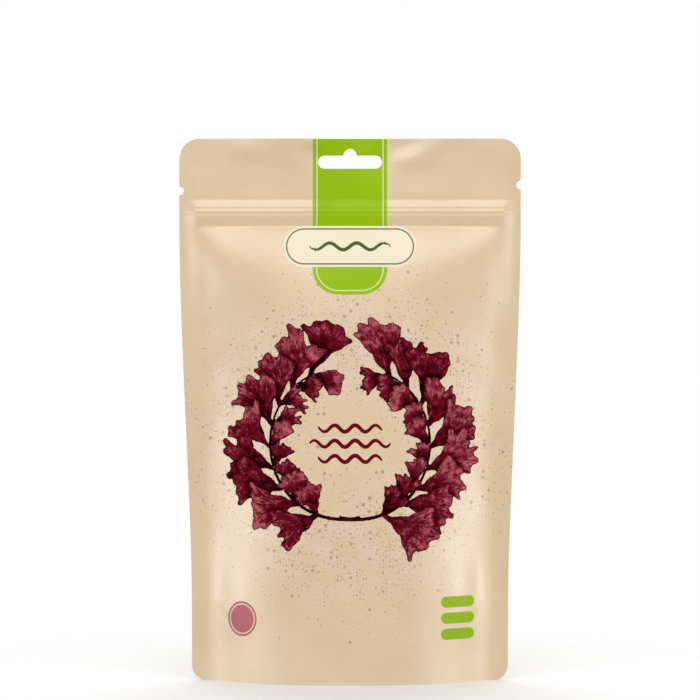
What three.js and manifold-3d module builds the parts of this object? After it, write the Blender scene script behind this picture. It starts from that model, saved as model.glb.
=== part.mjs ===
// A sealed stand-up pouch of kraft laminate, filled with dried dulse fronds.
//
// Two panels are sealed together at the top and along both sides. A folded gusset opens the bottom, so the
// pouch stands on the lower edges of its panels. A press-to-close zipper runs inside, under the tear
// notches, and a hang hole is punched through the top seal. The front faces -Y and the origin is on the
// ground under the middle of the pouch. Lengths are millimetres.

import * as THREE from "three";
import { mergeVertices } from "three/addons/utils/BufferGeometryUtils.js";
import Module from "manifold-3d";

const wasm = await Module();
wasm.setup();

// Film
const filmWidth = 160;
const pouchHeight = 254;
const filmThickness = 0.4;
const layerGap = 0.2; // kept between layers that are sealed together
const sideSealWidth = 8;
const topCornerRadius = 9.5;
const bottomCornerRadius = 7;

// Filled form: each panel stands out most at the bottom and lies flat from bulgeTop upwards
const baseHalfDepth = 23;
const bulgeTop = 213;
const bulgePower = 2.7; // a higher power keeps the pouch full further up
const lensPower = [3.2, 2.1]; // of the cross-section at the foot and further up: a higher power is flatter
const sealEase = [1.5, 1.75]; // above 1 the film leaves the side seals gently
const easing = [40, 150]; // heights between which the one passes into the other
const shoulder = 8.5; // swell over the whole width just under the zipper
const shoulderReach = 17;
const shoulderFade = 6; // it dies away over so many reaches
const shoulderFlare = 0.4; // share by which it is higher towards the side seals
const shoulderPower = [10, 3]; // how evenly it spans the width, at the top and further down
const shoulderPowerFade = 1.5; // reaches over which the one passes into the other
const lensArc = filmWidth / 2 - sideSealWidth; // film from the middle to a side seal

// Bottom gusset: sealed to the panels up to a line that climbs from the middle to the sides
const gussetSealHeight = 7;
const gussetFoldHeight = 38;
const gussetSealPower = 2.2;
const gussetArch = 6; // rise of the fold above the seal line, in the middle
const foldPower = 1.25; // a power near 1 makes the fold sharp

// Zipper
const zipperHeight = 221;
const zipperTapeHeight = 13;
const zipperHalfLength = lensArc - 1;
const zipperHalfOpening = 1.5; // room for a strip, from the middle plane out
const tapeThickness = 0.4;
// Height from the zipper's middle, and how far it pushes a panel out there
const zipperSwell = [
  [-75, 0],
  [-8.5, 2.45],
  [-3.5, 3.2],
  [1, 2.7],
  [4.4, 1.45],
  [6.5, 1.4],
  [12, 0.9],
  [27, 0],
];
const jawHalfSpan = 1.55;
const jawThickness = 0.5;
const jawReach = 1.5;
const lipHalfOpening = 0.55;
const lipThickness = 0.4;
const ribHalfWidth = 0.25;
const ribHeadHalfWidth = 0.65;
const ribHeadDepth = 0.5;

// Hang hole: a slot with round ends and a round rise in the middle for a single peg
const slotWidth = 30;
const slotHeight = 6.2;
const slotBottom = 240;
const slotRiseRadius = 3.1;

// Tear notches, punched at slightly different heights
const notchRadius = 2.1;
const leftNotchHeight = 229.6;
const rightNotchHeight = 232.3;

// Contents: palmate fronds, packed upright one behind the other
const frondThickness = 0.8;
const frondSpacing = 4;
const frondCount = 7;
const frondFootHeight = 24;
const frondWave = 1.3; // half height of the waves in a frond
const frondClearance = 2.2;
const stipeHalfWidth = 4;
const stipeLength = 16;

const kraft = new THREE.MeshStandardMaterial({ color: "#dcc29b", roughness: 0.62, metalness: 0 });
const zipperPlastic = new THREE.MeshStandardMaterial({ color: "#e9e6dc", roughness: 0.4, metalness: 0 });
const dulse = new THREE.MeshStandardMaterial({ color: "#5b1324", roughness: 0.55, metalness: 0 });

// Solids and geometry

function toSolid(geometry) {
  const bare = geometry.clone();
  bare.deleteAttribute("normal");
  bare.deleteAttribute("uv");
  const merged = mergeVertices(bare);
  return new wasm.Manifold(
    new wasm.Mesh({
      numProp: 3,
      vertProperties: new Float32Array(merged.attributes.position.array),
      triVerts: new Uint32Array(merged.index.array),
    }),
  );
}

function toGeometry(solid) {
  const mesh = solid.getMesh();
  const geometry = new THREE.BufferGeometry();
  geometry.setAttribute("position", new THREE.BufferAttribute(mesh.vertProperties, 3));
  geometry.setIndex(new THREE.BufferAttribute(mesh.triVerts, 1));
  geometry.computeVertexNormals();
  return geometry;
}

// A closed sheet over a grid: outer(i, j) and inner(i, j) give the points of its two faces
function sheetGeometry(columns, rows, outer, inner) {
  const points = [];
  for (const face of [outer, inner]) {
    for (let j = 0; j < rows; j++) {
      for (let i = 0; i < columns; i++) points.push(face(i, j));
    }
  }
  const index = [];
  const back = columns * rows;
  const quad = (a, b, c, d) => index.push(a, b, c, a, c, d);
  const at = (i, j) => j * columns + i;
  for (let j = 0; j + 1 < rows; j++) {
    for (let i = 0; i + 1 < columns; i++) {
      const [a, b, c, d] = [at(i, j), at(i + 1, j), at(i + 1, j + 1), at(i, j + 1)];
      quad(a, b, c, d);
      index.push(back + a, back + c, back + b, back + a, back + d, back + c);
    }
  }
  for (let i = 0; i + 1 < columns; i++) {
    const top = rows - 1;
    quad(back + at(i, 0), back + at(i + 1, 0), at(i + 1, 0), at(i, 0));
    quad(at(i, top), at(i + 1, top), back + at(i + 1, top), back + at(i, top));
  }
  for (let j = 0; j + 1 < rows; j++) {
    const right = columns - 1;
    quad(at(0, j), at(0, j + 1), back + at(0, j + 1), back + at(0, j));
    quad(at(right, j + 1), at(right, j), back + at(right, j), back + at(right, j + 1));
  }
  const geometry = new THREE.BufferGeometry().setFromPoints(points);
  geometry.setIndex(index);
  return geometry;
}

// An outline drawn in X and Z, carried along Y
function alongY(shape, fromY, toY, curveSegments = 8) {
  const geometry = new THREE.ExtrudeGeometry(shape, {
    depth: toY - fromY,
    bevelEnabled: false,
    curveSegments,
  });
  return geometry.rotateX(Math.PI / 2).translate(0, toY, 0);
}

// An outline drawn in Y and Z, carried along X about the middle
function alongX(shape, halfLength) {
  const geometry = new THREE.ExtrudeGeometry(shape, { depth: 2 * halfLength, bevelEnabled: false });
  const turn = new THREE.Matrix4().makeBasis(
    new THREE.Vector3(0, 1, 0),
    new THREE.Vector3(0, 0, 1),
    new THREE.Vector3(1, 0, 0),
  );
  return geometry.applyMatrix4(turn).translate(-halfLength, 0, 0);
}

function spans(list) {
  const values = [list[0][0]];
  for (const [from, to, steps] of list) {
    for (let k = 1; k <= steps; k++) values.push(from + ((to - from) * k) / steps);
  }
  return values;
}

// Filled form of the film

const step = THREE.MathUtils.smoothstep;

// How far the middle of a panel stands out; it is level at the ground, where the film hangs upright
function bulge(z) {
  const height = Math.abs(z) / bulgeTop;
  return height < 1 ? baseHalfDepth * (1 - height ** bulgePower) : 0;
}

// Both powers of the cross-section at height z
function lensPowers(z) {
  const upper = step(z, ...easing);
  return [lensPower, sealEase].map(([foot, top]) => foot + upper * (top - foot));
}

// Share of the bulge at a place on the half chord: (1 - place^power)^ease
function lensShare(place, z) {
  const [power, ease] = lensPowers(z);
  return (1 - place ** power) ** ease;
}

// Half the chord at height z: the film keeps its length while its middle stands out
function halfChord(z) {
  const steps = 24;
  const depth = bulge(z);
  const heights = Array.from({ length: steps + 1 }, (_, k) => depth * lensShare(k / steps, z));
  const arcLength = (chord) => {
    let sum = 0;
    for (let k = 0; k < steps; k++) sum += Math.hypot(chord / steps, heights[k + 1] - heights[k]);
    return sum;
  };
  let [low, high] = [lensArc / 2, lensArc];
  for (let k = 0; k < 40; k++) {
    const middle = (low + high) / 2;
    if (arcLength(middle) > lensArc) high = middle;
    else low = middle;
  }
  return low;
}

// Under the zipper the film opens almost evenly from side to side, and this dies away further down
function shoulderAt(inLens, z) {
  const below = Math.max(bulgeTop - z, 0) / shoulderReach;
  const [top, foot] = shoulderPower;
  const power = foot + (top - foot) * Math.exp(-((below / shoulderPowerFade) ** 2));
  const across = (1 + shoulderFlare * inLens ** 2) * (1 - inLens ** power);
  return shoulder * (1 - Math.exp(-below)) * Math.exp(-below / shoulderFade) * across;
}

// The zipper's swell at height z, between the two nearest of its points
function swellAt(z) {
  const lift = z - zipperHeight;
  const next = zipperSwell.findIndex(([height]) => height > lift);
  if (next < 1) return 0;
  const [[low, first], [high, second]] = [zipperSwell[next - 1], zipperSwell[next]];
  return first + ((second - first) * (lift - low)) / (high - low);
}

// Half the gap between the panels' inner faces where no bulge holds them apart: at the foot of the side
// seals two layers of the gusset lie between them, and at the zipper its two tapes do
function layerOpening(across, z) {
  const besideSeal = step(Math.abs(across), 0.8, 1);
  const gussetLayers = besideSeal * (1 - step(z, gussetFoldHeight + 2, gussetFoldHeight + 9));
  const zipper = swellAt(z) * (1 - step(Math.abs(across), 1, 1.5));
  return layerGap / 2 + gussetLayers * (filmThickness + layerGap) + zipper;
}

// Inner face of a panel. across runs from -1 to 1 over the bulge and on to -2 and 2 over the side seals
function filmPoint(across, z, side) {
  const inLens = Math.min(Math.abs(across), 1);
  const inSeal = Math.abs(across) - inLens;
  const x = Math.sign(across) * (inLens * halfChord(z) + inSeal * sideSealWidth);
  const y = layerOpening(across, z) + bulge(z) * lensShare(inLens, z) + shoulderAt(inLens, z);
  return new THREE.Vector3(x, side * y, z);
}

// The same point moved outwards, square to the film
function filmOuterPoint(across, z, side) {
  const reach = 0.02;
  const alongWidth = filmPoint(across + reach, z, side).sub(filmPoint(across - reach, z, side));
  const alongHeight = filmPoint(across, z + reach, side).sub(filmPoint(across, z - reach, side));
  const normal = alongWidth.cross(alongHeight).normalize();
  return filmPoint(across, z, side).addScaledVector(normal, -side * filmThickness);
}

// Cutters

const cutReach = 6;

function roundCorner(x, z, radius, toX, toZ) {
  const past = 3;
  const shape = new THREE.Shape();
  shape.moveTo(x - toX * radius, z);
  shape.absarc(
    x - toX * radius,
    z - toZ * radius,
    radius,
    toZ * (Math.PI / 2),
    toX > 0 ? 0 : toZ * Math.PI,
    toX * toZ > 0,
  );
  shape.lineTo(x + toX * past, z - toZ * radius);
  shape.lineTo(x + toX * past, z + toZ * past);
  shape.lineTo(x - toX * radius, z + toZ * past);
  return toSolid(alongY(shape, -cutReach, cutReach, 6));
}

function hangHole() {
  const end = slotHeight / 2;
  const halfStraight = slotWidth / 2 - end;
  const middle = slotBottom + end;
  const top = slotBottom + slotHeight;
  const shape = new THREE.Shape();
  shape.moveTo(-halfStraight, slotBottom);
  shape.lineTo(halfStraight, slotBottom);
  shape.absarc(halfStraight, middle, end, -Math.PI / 2, Math.PI / 2, false);
  shape.lineTo(slotRiseRadius, top);
  shape.absarc(0, top, slotRiseRadius, 0, Math.PI, false);
  shape.lineTo(-halfStraight, top);
  shape.absarc(-halfStraight, middle, end, Math.PI / 2, (3 * Math.PI) / 2, false);
  return toSolid(alongY(shape, -cutReach, cutReach));
}

function tearNotch(x, z) {
  const shape = new THREE.Shape();
  shape.absarc(x, z, notchRadius, 0, 2 * Math.PI, false);
  return toSolid(alongY(shape, -cutReach, cutReach, 8));
}

const footHalfWidth = halfChord(0) + sideSealWidth;

function bottomCorners() {
  return [-1, 1].map((toX) => roundCorner(toX * footHalfWidth, 0, bottomCornerRadius, toX, -1));
}

function panelCuts() {
  const half = filmWidth / 2;
  return [
    hangHole(),
    tearNotch(-half, leftNotchHeight),
    tearNotch(half, rightNotchHeight),
    ...[-1, 1].map((toX) => roundCorner(toX * half, pouchHeight, topCornerRadius, toX, 1)),
    ...bottomCorners(),
  ];
}

const cutFrom = (solid, cuts) => cuts.reduce((left, cut) => left.subtract(cut), solid);

// Panels

const panelColumns = spans([
  [-2, -1, 2],
  [-1, 1, 20],
  [1, 2, 2],
]);
const shoulderFoot = bulgeTop - 3 * shoulderReach;
const bodyRows = spans([
  [0, gussetFoldHeight + 2, 5],
  [gussetFoldHeight + 2, gussetFoldHeight + 9, 2],
  [gussetFoldHeight + 9, shoulderFoot, 8],
  [shoulderFoot, bulgeTop, 9],
]);
const zipperRows = zipperSwell.map(([lift]) => zipperHeight + lift).filter((z) => z > bulgeTop);
const panelRows = [...bodyRows, ...zipperRows, pouchHeight];

function panel(side) {
  const outer = (i, j) => filmOuterPoint(panelColumns[i], panelRows[j], side);
  const inner = (i, j) => filmPoint(panelColumns[i], panelRows[j], side);
  const faces = side < 0 ? [outer, inner] : [inner, outer];
  const sheet = sheetGeometry(panelColumns.length, panelRows.length, ...faces);
  return toGeometry(cutFrom(toSolid(sheet), panelCuts()));
}

// Bottom gusset

const gussetColumns = spans([
  [-2, -1, 2],
  [-1, -0.7, 3],
  [-0.7, 0.7, 8],
  [0.7, 1, 3],
  [1, 2, 2],
]);
const leafSteps = 3;
const bridgeSteps = 8;
const gussetRows = 2 * leafSteps + bridgeSteps + 1;

function gussetSealLine(across) {
  const inLens = Math.min(Math.abs(across), 1);
  return gussetSealHeight + (gussetFoldHeight - gussetSealHeight) * inLens ** gussetSealPower;
}

// A leaf lies inside a panel, up to the seal line
function leafPoint(across, z, side) {
  const point = filmPoint(across, z, side);
  point.y -= side * (layerGap + filmThickness / 2);
  return point;
}

// Across the bottom the gusset rises from the front seal line to its fold and falls to the back one
function gussetPoint(across, row) {
  const sealLine = gussetSealLine(across);
  if (row < leafSteps) return leafPoint(across, (sealLine * row) / leafSteps, -1);
  if (row > leafSteps + bridgeSteps) {
    return leafPoint(across, (sealLine * (gussetRows - 1 - row)) / leafSteps, 1);
  }
  const front = leafPoint(across, sealLine, -1);
  const share = (2 * (row - leafSteps)) / bridgeSteps - 1;
  const inLens = Math.min(Math.abs(across), 1);
  const rise = filmThickness + (gussetArch - filmThickness) * (1 - inLens ** 2);
  const z = sealLine + rise * (1 - Math.abs(share) ** foldPower);
  return new THREE.Vector3(front.x, -front.y * share, z);
}

function gussetFace(i, j, offset) {
  const across = gussetColumns[i];
  const reach = 0.02;
  const before = gussetPoint(across, Math.max(j - 1, 0));
  const after = gussetPoint(across, Math.min(j + 1, gussetRows - 1));
  const alongRow = after.sub(before);
  const alongWidth = gussetPoint(across + reach, j).sub(gussetPoint(across - reach, j));
  const normal = alongWidth.cross(alongRow).normalize();
  if (j === 0 || j === gussetRows - 1) normal.setZ(0).normalize();
  return gussetPoint(across, j).addScaledVector(normal, offset);
}

function gusset() {
  const half = filmThickness / 2;
  const sheet = sheetGeometry(
    gussetColumns.length,
    gussetRows,
    (i, j) => gussetFace(i, j, half),
    (i, j) => gussetFace(i, j, -half),
  );
  return toGeometry(cutFrom(toSolid(sheet), bottomCorners()));
}

// Zipper strips

const tapeOuter = zipperHalfOpening - layerGap;
const tapeInner = tapeOuter - tapeThickness;

// Closed outline from points on its upper half, mirrored below the zipper's middle
function mirroredOutline(upper) {
  const lower = upper.map(([y, z]) => [y, -z]).reverse();
  const points = [...upper, ...lower].map(([y, z]) => new THREE.Vector2(y, zipperHeight + z));
  return new THREE.Shape(points);
}

function grooveStrip() {
  const jawEnd = jawReach - tapeInner;
  const jawInner = jawHalfSpan - jawThickness;
  const outline = mirroredOutline([
    [-tapeOuter, zipperTapeHeight / 2],
    [-tapeInner, zipperTapeHeight / 2],
    [-tapeInner, jawHalfSpan],
    [jawEnd, jawHalfSpan],
    [jawEnd, lipHalfOpening],
    [jawEnd - lipThickness, lipHalfOpening],
    [jawEnd - lipThickness, jawInner],
    [-tapeInner, jawInner],
  ]);
  return alongX(outline, zipperHalfLength);
}

function ribStrip() {
  const headBack = jawReach - tapeInner - lipThickness - layerGap;
  const headFront = headBack - ribHeadDepth;
  const outline = mirroredOutline([
    [tapeOuter, zipperTapeHeight / 2],
    [tapeInner, zipperTapeHeight / 2],
    [tapeInner, ribHalfWidth],
    [headBack, ribHalfWidth],
    [headBack, ribHeadHalfWidth],
    [headFront, ribHalfWidth],
  ]);
  return alongX(outline, zipperHalfLength);
}

// Dulse fronds

// The room for a frond at depth y: half the width that the film leaves at height z
function roomAt(y, z) {
  const [power, ease] = lensPowers(z);
  const taken = (Math.abs(y) + frondClearance) / Math.max(bulge(z), 1);
  return taken < 1 ? halfChord(z) * (1 - taken ** (1 / ease)) ** (1 / power) : 0;
}

// Palmate outline: lobes on an arc above a narrow stipe, kept inside the room that the film leaves
function frondOutline(number, y) {
  const lobes = 4 + (number % 3);
  const spread = 1.05;
  const pointsPerLobe = 6;
  const lean = 0.12 * Math.sin(2.4 * number);
  const foot = frondFootHeight + stipeLength;
  const shape = new THREE.Shape();
  shape.moveTo(-stipeHalfWidth, frondFootHeight);
  shape.lineTo(stipeHalfWidth, frondFootHeight);
  const steps = lobes * pointsPerLobe;
  for (let k = 0; k <= steps; k++) {
    const share = 1 - (2 * k) / steps;
    const angle = spread * share + lean * (1 - share ** 2);
    const cut = Math.abs(Math.sin((Math.PI * lobes * (share + 1)) / 2)) ** 0.7;
    const uneven = 1 + 0.12 * Math.sin(5.1 * share + 1.7 * number);
    let reach = 0;
    for (let tryReach = 10; tryReach < 160; tryReach += 2) {
      const z = foot + tryReach * Math.cos(angle);
      if (tryReach * Math.abs(Math.sin(angle)) > 0.92 * roomAt(y, z)) break;
      reach = tryReach;
    }
    const radius = Math.max(reach * (0.42 + 0.5 * cut) * uneven, 8);
    shape.lineTo(radius * Math.sin(angle), foot + radius * Math.cos(angle));
  }
  return shape;
}

function frond(number) {
  const y = (number - (frondCount - 1) / 2) * frondSpacing;
  const outline = frondOutline(number, y);
  const points = outline.getPoints(1);
  const box = new THREE.Box2().setFromPoints(points).expandByScalar(1);
  const cell = 13;
  const columns = Math.ceil((box.max.x - box.min.x) / cell) + 1;
  const rows = Math.ceil((box.max.y - box.min.y) / cell) + 1;
  const face = (offset) => (i, j) => {
    const x = THREE.MathUtils.lerp(box.min.x, box.max.x, i / (columns - 1));
    const z = THREE.MathUtils.lerp(box.min.y, box.max.y, j / (rows - 1));
    const ripple = Math.sin(x / 9 + 1.9 * number) * Math.cos(z / 15 + 0.8 * number);
    return new THREE.Vector3(x, y + frondWave * ripple + offset, z);
  };
  const half = frondThickness / 2;
  const slab = toSolid(sheetGeometry(columns, rows, face(-half), face(half)));
  const reach = frondWave + frondThickness;
  return toGeometry(slab.intersect(toSolid(alongY(outline, y - reach, y + reach, 1))));
}

// Assembly

function named(name, geometry, material) {
  const mesh = new THREE.Mesh(geometry, material);
  mesh.name = name;
  return mesh;
}

const pouch = new THREE.Group();
pouch.add(
  named("front_panel", panel(-1), kraft),
  named("back_panel", panel(1), kraft),
  named("bottom_gusset", gusset(), kraft),
  named("zipper_groove_strip", grooveStrip(), zipperPlastic),
  named("zipper_rib_strip", ribStrip(), zipperPlastic),
);
for (let number = 0; number < frondCount; number++) {
  pouch.add(named(`dulse_frond_${number + 1}`, frond(number), dulse));
}

export default pouch;
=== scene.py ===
import math

import bpy
import numpy as np
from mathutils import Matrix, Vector
from mathutils.geometry import delaunay_2d_cdt


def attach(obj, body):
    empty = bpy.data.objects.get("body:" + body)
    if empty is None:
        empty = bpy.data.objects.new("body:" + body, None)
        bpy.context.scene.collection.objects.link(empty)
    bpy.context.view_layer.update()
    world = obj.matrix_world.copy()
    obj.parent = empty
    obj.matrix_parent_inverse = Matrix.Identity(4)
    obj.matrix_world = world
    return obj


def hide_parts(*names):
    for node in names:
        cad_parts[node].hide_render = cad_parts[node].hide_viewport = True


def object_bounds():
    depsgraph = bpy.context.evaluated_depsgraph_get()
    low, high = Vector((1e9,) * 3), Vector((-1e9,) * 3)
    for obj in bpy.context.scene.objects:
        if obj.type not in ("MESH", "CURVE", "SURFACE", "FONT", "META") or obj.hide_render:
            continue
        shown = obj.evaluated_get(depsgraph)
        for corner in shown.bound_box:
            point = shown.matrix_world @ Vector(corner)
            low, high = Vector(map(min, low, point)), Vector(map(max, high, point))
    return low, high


# A filled stand-up pouch of kraft laminate. Its film is cut flat, printed flat and then formed: s runs across
# the flat film from its middle and h up from its lower edge. Shapes are worked out in millimetres.

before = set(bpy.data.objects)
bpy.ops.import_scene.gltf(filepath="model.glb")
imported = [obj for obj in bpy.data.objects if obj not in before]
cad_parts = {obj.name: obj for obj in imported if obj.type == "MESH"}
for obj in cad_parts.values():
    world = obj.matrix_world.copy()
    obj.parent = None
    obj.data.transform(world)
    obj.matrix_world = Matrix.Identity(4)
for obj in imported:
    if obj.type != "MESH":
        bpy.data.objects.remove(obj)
cadLow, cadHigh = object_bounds()
millimetre = 0.001

pouch = {
    "width": (cadHigh.x - cadLow.x) / millimetre,
    "height": (cadHigh.z - cadLow.z) / millimetre,
    "film": 0.3,
    "sealedHalf": 0.32,  # from the middle plane to the outer face of a panel in a seal
    "sideSeal": 8.0,
    "sealBend": ((-6, 0.11), (-3, 0.22), (0, 0.34), (3, 0.22), (6, 0.11)),  # weights that soften its edge
    "baseDepth": 23.0,  # how far a panel stands out at the bottom
    "flatFrom": 213.0,  # the pouch is flat from this height on
    "bulgePower": 2.7,
    "lensPower": (3.2, 2.1),  # of the cross-section at the foot and further up: a higher power is flatter
    "sealEase": (1.5, 1.75),  # above 1 the film leaves the side seals gently
    "easing": (40.0, 150.0),  # heights between which the one passes into the other
    "zipHeight": 221.0,
    "shoulder": 8.5,  # swell over the whole width just under the zipper
    "shoulderReach": 17.0,
    "shoulderFade": 6.0,  # it dies away over so many reaches
    "shoulderFlare": 0.4,  # share by which it is higher towards the side seals
    "shoulderPower": (10, 3),  # how evenly it spans the width, at the top and further down
    "shoulderPowerFade": 1.5,  # reaches over which the one passes into the other
    "gussetSeal": 7.0,
    "gussetFold": 38.0,
    "gussetPower": 2.2,
    "gussetArch": 6.0,
    "gussetOpening": 0.35,  # room for a layer of the gusset between the sealed panels
    "openingFrom": 0.8,  # share of the way to a side seal at which that room begins
    "openingFade": 4.0,  # height above the fold at which it has closed
    "leafDrop": 0.48,  # from a panel's outer face to the middle of that layer
    "foldPower": 1.25,  # above 1 the gusset's fold is rounded
}
lensArc = pouch["width"] / 2 - pouch["sideSeal"]  # film from the middle to a side seal


def smoothStep(value, low, high):
    # 0 up to low, 1 from high on, and 3t^2 - 2t^3 between them
    share = np.clip((value - low) / (high - low), 0, 1)
    return share * share * (3 - 2 * share)


def between(value, rise, fall):
    # 0, then 1 from the end of the first span to the start of the second, then 0 again
    return smoothStep(value, *rise) * (1 - smoothStep(value, *fall))


def bell(value, width):
    # exp of minus the square of value over width
    return np.exp(-((value / width) ** 2))


def depthAt(h):
    # The middle of a panel stands out by baseDepth, less by a power of the height
    rise = np.abs(h) / pouch["flatFrom"]
    return pouch["baseDepth"] * np.clip(1 - rise ** pouch["bulgePower"], 0, 1)


def shoulderAt(s, h):
    # Under the zipper the film opens by 1 - exp(-below) and dies away by exp(-below / fade), and across the
    # width it is 1 - share^power, a little higher towards the side seals
    below = np.maximum(pouch["flatFrom"] - h, 0) / pouch["shoulderReach"]
    share = np.clip(np.abs(s) / lensArc, 0, 1)
    top, foot = pouch["shoulderPower"]
    power = foot + (top - foot) * bell(below, pouch["shoulderPowerFade"])
    across = (1 + pouch["shoulderFlare"] * share ** 2) * (1 - share ** power)
    return pouch["shoulder"] * (1 - np.exp(-below)) * np.exp(-below / pouch["shoulderFade"]) * across


def lensPowers(h):
    # Power and ease of the cross-section, each passing from its value at the foot to its value further up
    upper = smoothStep(h, *pouch["easing"])
    return tuple(low + upper * (high - low) for low, high in (pouch["lensPower"], pouch["sealEase"]))


def crossSection(place, h):
    # Share of the depth at a place on the half chord: (1 - place^power)^ease, both changing with the height
    power, ease = lensPowers(h)
    return np.clip(1 - place ** power, 0, 1) ** ease


def lensTable(rows=200, columns=160, halvings=40):
    # For each height, bisection finds the half chord at which the cross-section is as long as the film, and
    # the lengths along it give the place on the chord of each point of the film
    heights = np.linspace(0, pouch["height"], rows)
    places = np.linspace(0, 1, columns + 1)
    rises = np.diff(depthAt(heights)[:, None] * crossSection(places, heights[:, None]), axis=1)
    low = np.full((rows, 1), lensArc / 2)
    high = np.full((rows, 1), lensArc)
    for halving in range(halvings):
        chord = (low + high) / 2
        pieces = np.hypot(chord / columns, rises)
        tooLong = pieces.sum(1, keepdims=True) > lensArc
        high = np.where(tooLong, chord, high)
        low = np.where(tooLong, low, chord)
    arcs = np.hstack([np.zeros((rows, 1)), np.cumsum(pieces, 1)])
    even = np.linspace(0, lensArc, columns + 1)
    return heights, chord[:, 0], np.array([np.interp(even, arc, places) for arc in arcs])


tableHeights, tableChords, tablePlaces = lensTable()


def placeOnChord(s, h):
    # The table of places, read between its four nearest entries
    rows, columns = tablePlaces.shape
    row = np.clip(h / pouch["height"], 0, 1) * (rows - 1)
    column = np.clip(np.abs(s) / lensArc, 0, 1) * (columns - 1)
    i = np.minimum(row.astype(int), rows - 2)
    j = np.minimum(column.astype(int), columns - 2)
    lower = tablePlaces[i, j] * (1 - column + j) + tablePlaces[i, j + 1] * (column - j)
    upper = tablePlaces[i + 1, j] * (1 - column + j) + tablePlaces[i + 1, j + 1] * (column - j)
    return lower * (1 - row + i) + upper * (row - i)


def layerOpening(s, h):
    # Half the pouch's thickness without its bulge: more at the sides, where gusset layers lie in between
    besideSeal = smoothStep(np.abs(s), pouch["openingFrom"] * lensArc, lensArc)
    closed = smoothStep(h, pouch["gussetFold"], pouch["gussetFold"] + pouch["openingFade"])
    return pouch["sealedHalf"] + pouch["gussetOpening"] * (besideSeal * (1 - closed))


def gussetLine(s):
    # The gusset's seal climbs from the middle to its fold at the side seals
    share = np.clip(np.abs(s) / lensArc, 0, 1)
    return pouch["gussetSeal"] + (pouch["gussetFold"] - pouch["gussetSeal"]) * share ** pouch["gussetPower"]


# Relief of the handled film, in millimetres out of the panel

handling = {
    "seed": 11,
    "dents": 44,
    "dentLength": (20, 55),
    "dentWidth": (7, 16),
    "dentDepth": 0.5,
    "dentLean": 0.6,  # radians from upright
    "dentHeights": ((0, 14), (196, 212)),  # they set in over the first span and end over the second
    "dentMargin": 9.0,  # beside a side seal, over which they set in
    "zipProfile": (  # height from the zipper's middle, and how far the film stands out over its strips
        (-75.0, 0.0),
        (-8.7, 2.45),
        (-4.0, 3.2),
        (-3.0, 3.28),
        (-2.3, 3.05),
        (-0.8, 3.15),
        (-0.1, 2.8),
        (0.5, 2.68),
        (1.0, 2.75),
        (4.4, 1.45),
        (6.5, 1.4),
        (12.0, 0.9),
        (20.0, 0.25),
        (27.0, 0.0),
    ),
    "zipSoften": 0.3,
    "zipEnds": (-1.5, 7.0),  # span past a side seal's inner edge over which the profile ends
    "pucker": 0.25,
    "puckerLengths": (4.6, 19, 60),  # of the puckers, and of their wandering up and across
    "puckerWander": 1.9,
    "puckerHeights": ((42, 60), (190, 206)),
    "puckerPlace": (5, 5),  # distance from a side seal, and width
    "cornerSwell": 1.6,
    "cornerPlace": (56.0, 36.0),
    "cornerSize": (13.0, 22.0),
    "gussetCrease": 0.06,
    "creaseWidth": 1.7,
    "creaseSpan": (12, 45),  # distances from the middle over which it sets in
    "creaseRidge": (0.5, 6, 4),  # share of its depth, height above it and width
    "headerFrom": 229.0,
    "headerWave": 1.3,
    "headerLong": (17, 0.8),  # length and phase of its long waves
    "headerShort": (0.6, 9.5, 13, 2.3),  # share, lengths across and up, and phase of its short ones
    "headerDents": 22,
    "headerDentSeed": 7,
    "headerDentCorners": ((-75, 232), (75, 254)),
    "headerDentLength": (10, 26),
    "headerDentWidth": (4, 8),
    "headerDentDepth": 1.3,
    "edgeWave": 0.7,
    "edgeSpan": (45, 80),  # distances from the middle over which it sets in
    "edgeHeights": ((30, 70), (180, 210)),
    "edgeLength": 27,
    "edgePhase": 1.2,  # forward on the right, back on the left
}


def bells(s, h, seed, count, low, high, lengths, widths, most, lean):
    # A sum of long bells, each with its own place, lean, length, width and depth
    draw = np.random.default_rng(handling["seed"] + seed)
    place = draw.uniform(low, high, (count, 2))
    turn = math.pi / 2 + draw.uniform(-lean, lean, count)
    length = draw.uniform(*lengths, count)
    width = draw.uniform(*widths, count)
    depth = draw.uniform(-most, most, count)
    total = np.zeros_like(s)
    for k in range(count):
        along = (s - place[k, 0]) * math.cos(turn[k]) + (h - place[k, 1]) * math.sin(turn[k])
        over = (h - place[k, 1]) * math.cos(turn[k]) - (s - place[k, 0]) * math.sin(turn[k])
        total += depth[k] * bell(along, length[k]) * bell(over, width[k])
    return total


def zipRelief(s, h):
    # The profile's points joined by straight lines and softened by a running mean with bell weights
    lifts, reliefs = np.array(handling["zipProfile"]).T
    margin, fineness = 2, 3  # millimetres past the profile's ends, and grid points to the softening's width
    grid = np.arange(lifts[0] - margin, lifts[-1] + margin, handling["zipSoften"] / fineness)
    reach = 3 * fineness
    weights = bell(np.arange(-reach, reach + 1) / fineness, 1)
    profile = np.convolve(np.interp(grid, lifts, reliefs), weights / weights.sum(), "same")
    fadeFrom, fadeTo = handling["zipEnds"]
    ends = 1 - smoothStep(np.abs(s), lensArc + fadeFrom, lensArc + fadeTo)
    return ends * np.interp(h - pouch["zipHeight"], grid, profile)


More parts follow.
